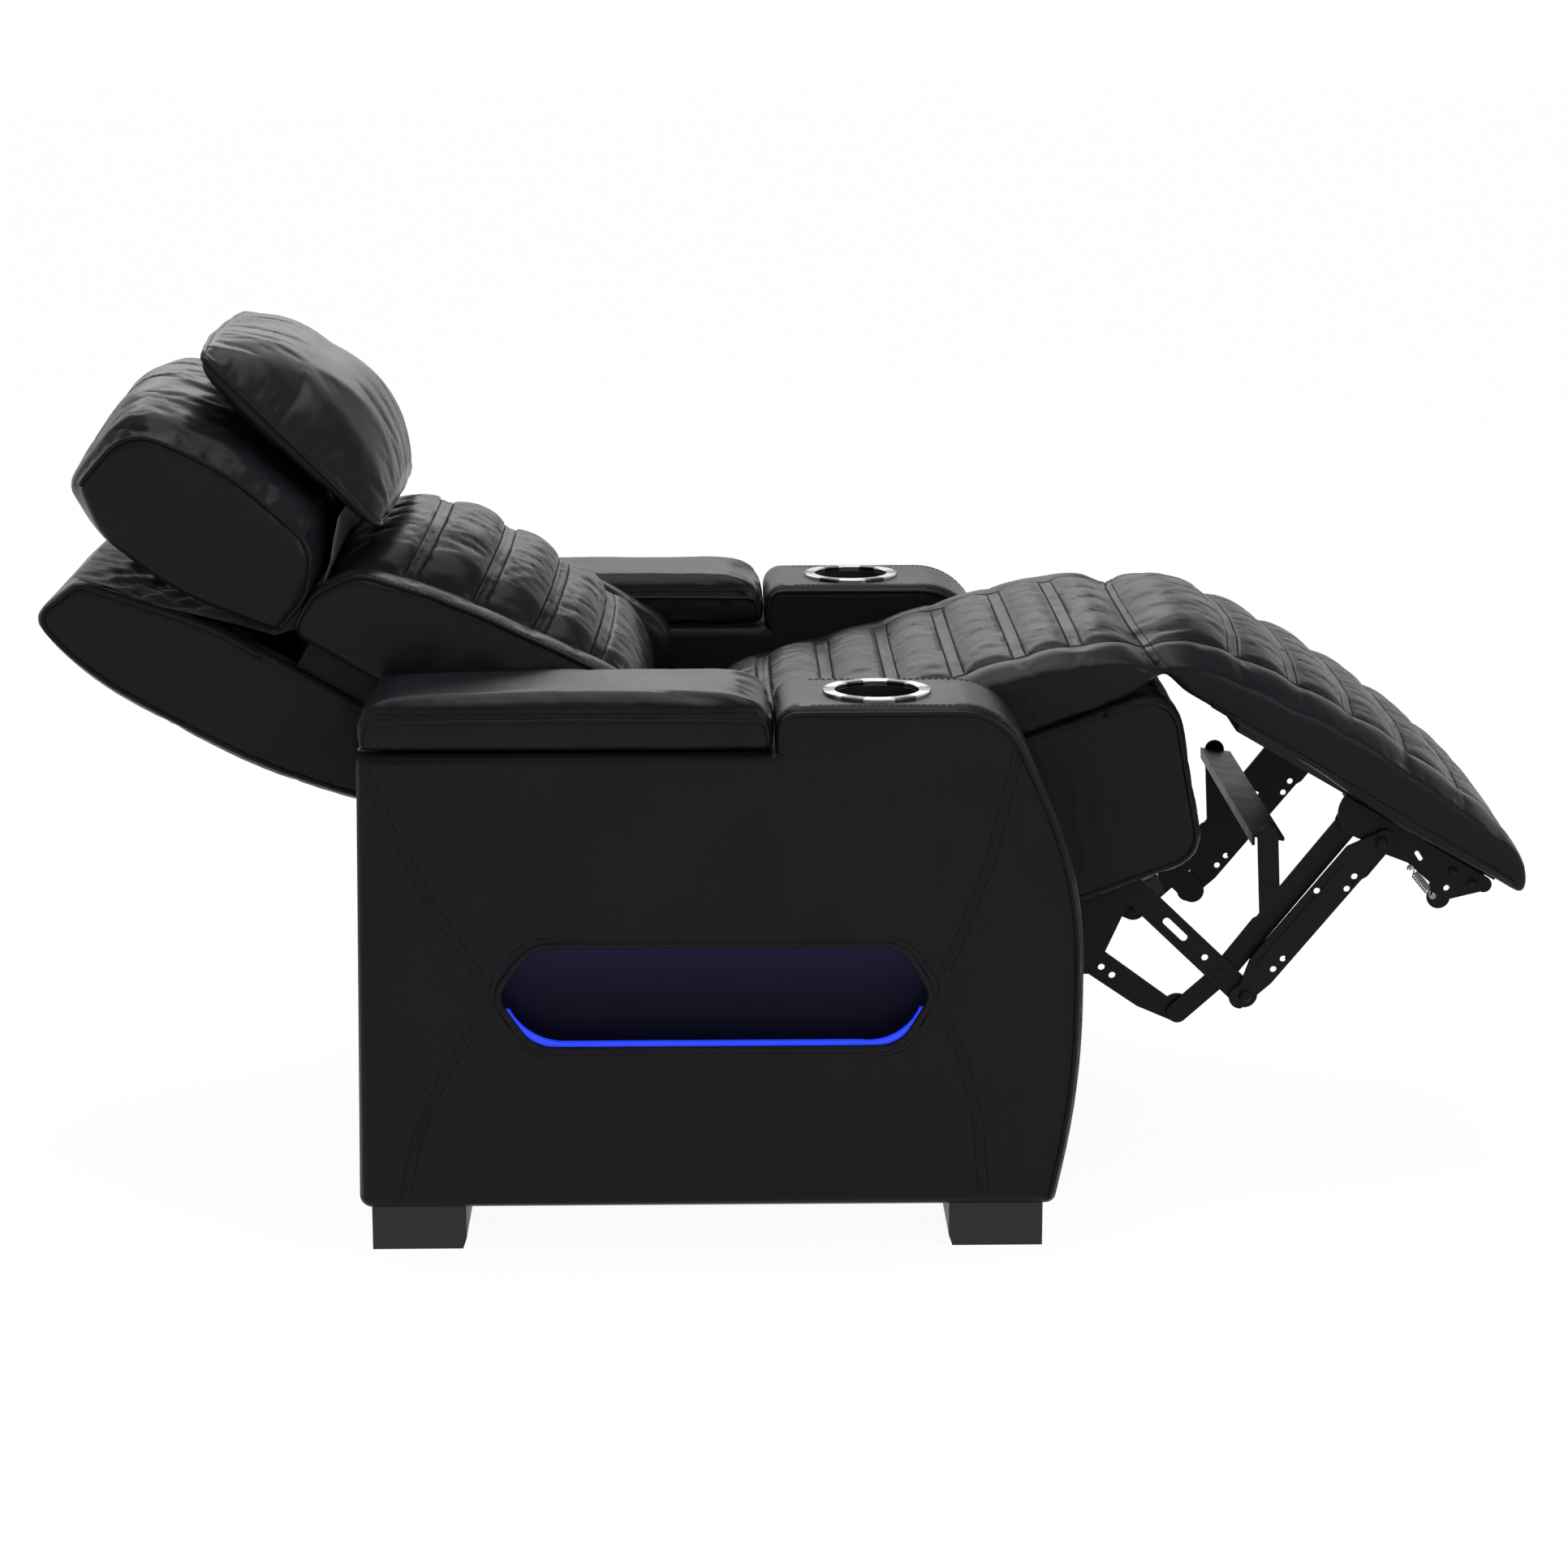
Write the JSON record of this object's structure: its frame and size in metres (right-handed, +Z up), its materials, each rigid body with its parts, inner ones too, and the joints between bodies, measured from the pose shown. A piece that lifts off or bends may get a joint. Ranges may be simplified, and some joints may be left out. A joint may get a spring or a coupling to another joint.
{
  "type": "cinema recliner seat",
  "caption": "Powered home-theatre recliner, fully reclined: padded arms with cup holders, storage lids and lit pockets, channelled seat and back, tilting headrest, folding leg rest.",
  "frame": {"origin": "floor plane under the middle of the reclined seat's bounding box", "axes": "+Z up; the sitter faces -Y, so +Y is to the seat's back; +X is the sitter's left"},
  "size_m": [0.934, 1.6823, 0.9805],
  "materials": {
    "black_leather": "satin",
    "cup_steel": "satin",
    "cup_lens": "gloss",
    "pocket_plastic": "satin",
    "blue_led": "gloss",
    "black_plastic": "matte",
    "board_wood": "painted black",
    "bright_steel": "satin",
    "panel_plastic": "gloss",
    "black_steel": "satin"
  },
  "bodies": {
    "base": {"arm_right": "black_leather", "arm_left": "black_leather", "storage_bin_right": "black_plastic", "storage_bin_left": "black_plastic", "cup_holder_right": "cup_steel", "cup_holder_left": "cup_steel", "cup_light_right": "cup_lens", "cup_light_left": "cup_lens", "light_pocket_right": "pocket_plastic", "light_pocket_left": "pocket_plastic", "led_strip_right": "blue_led", "led_strip_left": "blue_led", "foot_front_right": "black_plastic", "foot_front_left": "black_plastic", "foot_rear_right": "black_plastic", "foot_rear_left": "black_plastic", "base_rail_right": "black_steel", "base_rail_left": "black_steel", "base_cross_tubes": "black_steel", "glide_tracks": "black_steel", "rear_stretcher": "board_wood", "power_box": "black_plastic", "power_inlet": "black_plastic", "control_panel": "panel_plastic", "lid_hinge_bases": "bright_steel"},
    "lid_right": {"lid_right": "black_leather", "lid_hinge_leaf_right": "bright_steel"},
    "lid_left": {"lid_left": "black_leather", "lid_hinge_leaf_left": "bright_steel"},
    "seat": {"seat_box": "black_leather", "seat_cushion": "black_leather", "seat_plate_right": "black_steel", "seat_plate_left": "black_steel", "recline_motor": "black_steel"},
    "slider": {"drive_slider": "black_steel"},
    "drop_link": {"drop_links": "black_steel"},
    "rear_link": {"short_rear_links": "black_steel"},
    "long_link": {"long_links": "black_steel", "stabiliser_bar": "black_steel"},
    "wide_link": {"wide_links": "black_steel"},
    "leg_rest": {"footrest_board": "board_wood", "footrest_pad": "black_leather", "footrest_brackets": "black_steel", "return_springs": "bright_steel"},
    "back": {"back_frame": "black_steel", "back_shell": "black_leather", "back_cushion": "black_leather", "back_bolster_right": "black_leather", "back_bolster_left": "black_leather", "headrest_motor": "black_steel"},
    "headrest": {"headrest_frame": "black_steel", "headrest_block": "black_leather", "head_pillow": "black_leather"},
    "headrest_push_rod": {"headrest_rod": "bright_steel"},
    "button_recline": {"button_recline": "panel_plastic"},
    "button_return": {"button_return": "panel_plastic"},
    "button_head_up": {"button_head_up": "panel_plastic"},
    "button_head_down": {"button_head_down": "panel_plastic"},
    "button_light": {"button_light": "panel_plastic"}
  },
  "joints": [
    {"name": "seat_glide", "type": "hinge", "parent": "base", "child": "seat", "pos_m": [0, 0.1971, 1.3462], "axis": [1, 0, 0], "range_deg": [0, 12]},
    {"name": "back_recline", "type": "hinge", "parent": "seat", "child": "back", "pos_m": [0, 0.145, 0.455], "axis": [1, 0, 0], "range_deg": [0, 30]},
    {"name": "headrest_tilt", "type": "hinge", "parent": "back", "child": "headrest", "pos_m": [0, 0.65364, 0.684], "axis": [-1, 0, 0], "range_deg": [0, 15]},
    {"name": "headrest_rod_slide", "type": "slide", "parent": "back", "child": "headrest_push_rod", "axis": [0, -0.866, -0.5], "range_m": [0, 0.015]},
    {"name": "leg_rest_fold", "type": "hinge", "parent": "seat", "child": "leg_rest", "pos_m": [0, -0.47819, 0.54708], "axis": [1, 0, 0], "range_deg": [0, 46.6]},
    {"name": "drop_link_swing", "type": "hinge", "parent": "seat", "child": "drop_link", "pos_m": [0, -0.36633, 0.37579], "axis": [1, 0, 0], "range_deg": [0, 57.29]},
    {"name": "rear_link_swing", "type": "hinge", "parent": "seat", "child": "rear_link", "pos_m": [0, -0.33662, 0.27878], "axis": [1, 0, 0], "range_deg": [0, 84.87]},
    {"name": "long_link_swing", "type": "hinge", "parent": "drop_link", "child": "long_link", "pos_m": [0, -0.49556, 0.24937], "axis": [1, 0, 0], "range_deg": [-46.75, 0]},
    {"name": "wide_link_swing", "type": "hinge", "parent": "drop_link", "child": "wide_link", "pos_m": [0, -0.52177, 0.22677], "axis": [1, 0, 0], "range_deg": [-45.09, 0]},
    {"name": "slider_travel", "type": "slide", "parent": "seat", "child": "slider", "axis": [0, 0.9397, -0.342], "range_m": [0, 0.073]},
    {"name": "lid_right_lift", "type": "hinge", "parent": "base", "child": "lid_right", "pos_m": [-0.381, 0.4735, 0.5635], "axis": [-1, 0, 0], "range_deg": [0, 85]},
    {"name": "lid_left_lift", "type": "hinge", "parent": "base", "child": "lid_left", "pos_m": [0.381, 0.4735, 0.5635], "axis": [-1, 0, 0], "range_deg": [0, 85]},
    {"name": "press_recline", "type": "slide", "parent": "base", "child": "button_recline", "axis": [-1, 0, 0], "range_m": [0, 0.0012], "stiffness_N_per_m": 1500, "springref_m": -0.0006},
    {"name": "press_return", "type": "slide", "parent": "base", "child": "button_return", "axis": [-1, 0, 0], "range_m": [0, 0.0012], "stiffness_N_per_m": 1500, "springref_m": -0.0006},
    {"name": "press_head_up", "type": "slide", "parent": "base", "child": "button_head_up", "axis": [-1, 0, 0], "range_m": [0, 0.0012], "stiffness_N_per_m": 1500, "springref_m": -0.0006},
    {"name": "press_head_down", "type": "slide", "parent": "base", "child": "button_head_down", "axis": [-1, 0, 0], "range_m": [0, 0.0012], "stiffness_N_per_m": 1500, "springref_m": -0.0006},
    {"name": "press_light", "type": "slide", "parent": "base", "child": "button_light", "axis": [-1, 0, 0], "range_m": [0, 0.0012], "stiffness_N_per_m": 1500, "springref_m": -0.0006}
  ],
  "couplings": [
    {"joint": "back_recline", "follows": "seat_glide", "ratio": 2.5},
    {"joint": "drop_link_swing", "follows": "leg_rest_fold", "ratio": 1.2292},
    {"joint": "rear_link_swing", "follows": "leg_rest_fold", "ratio": 1.821},
    {"joint": "long_link_swing", "follows": "leg_rest_fold", "ratio": -1.003},
    {"joint": "wide_link_swing", "follows": "leg_rest_fold", "ratio": -0.96738},
    {"joint": "slider_travel", "follows": "leg_rest_fold", "m_per_rad": 0.08828},
    {"joint": "headrest_rod_slide", "follows": "headrest_tilt", "m_per_rad": 0.055386}
  ]
}
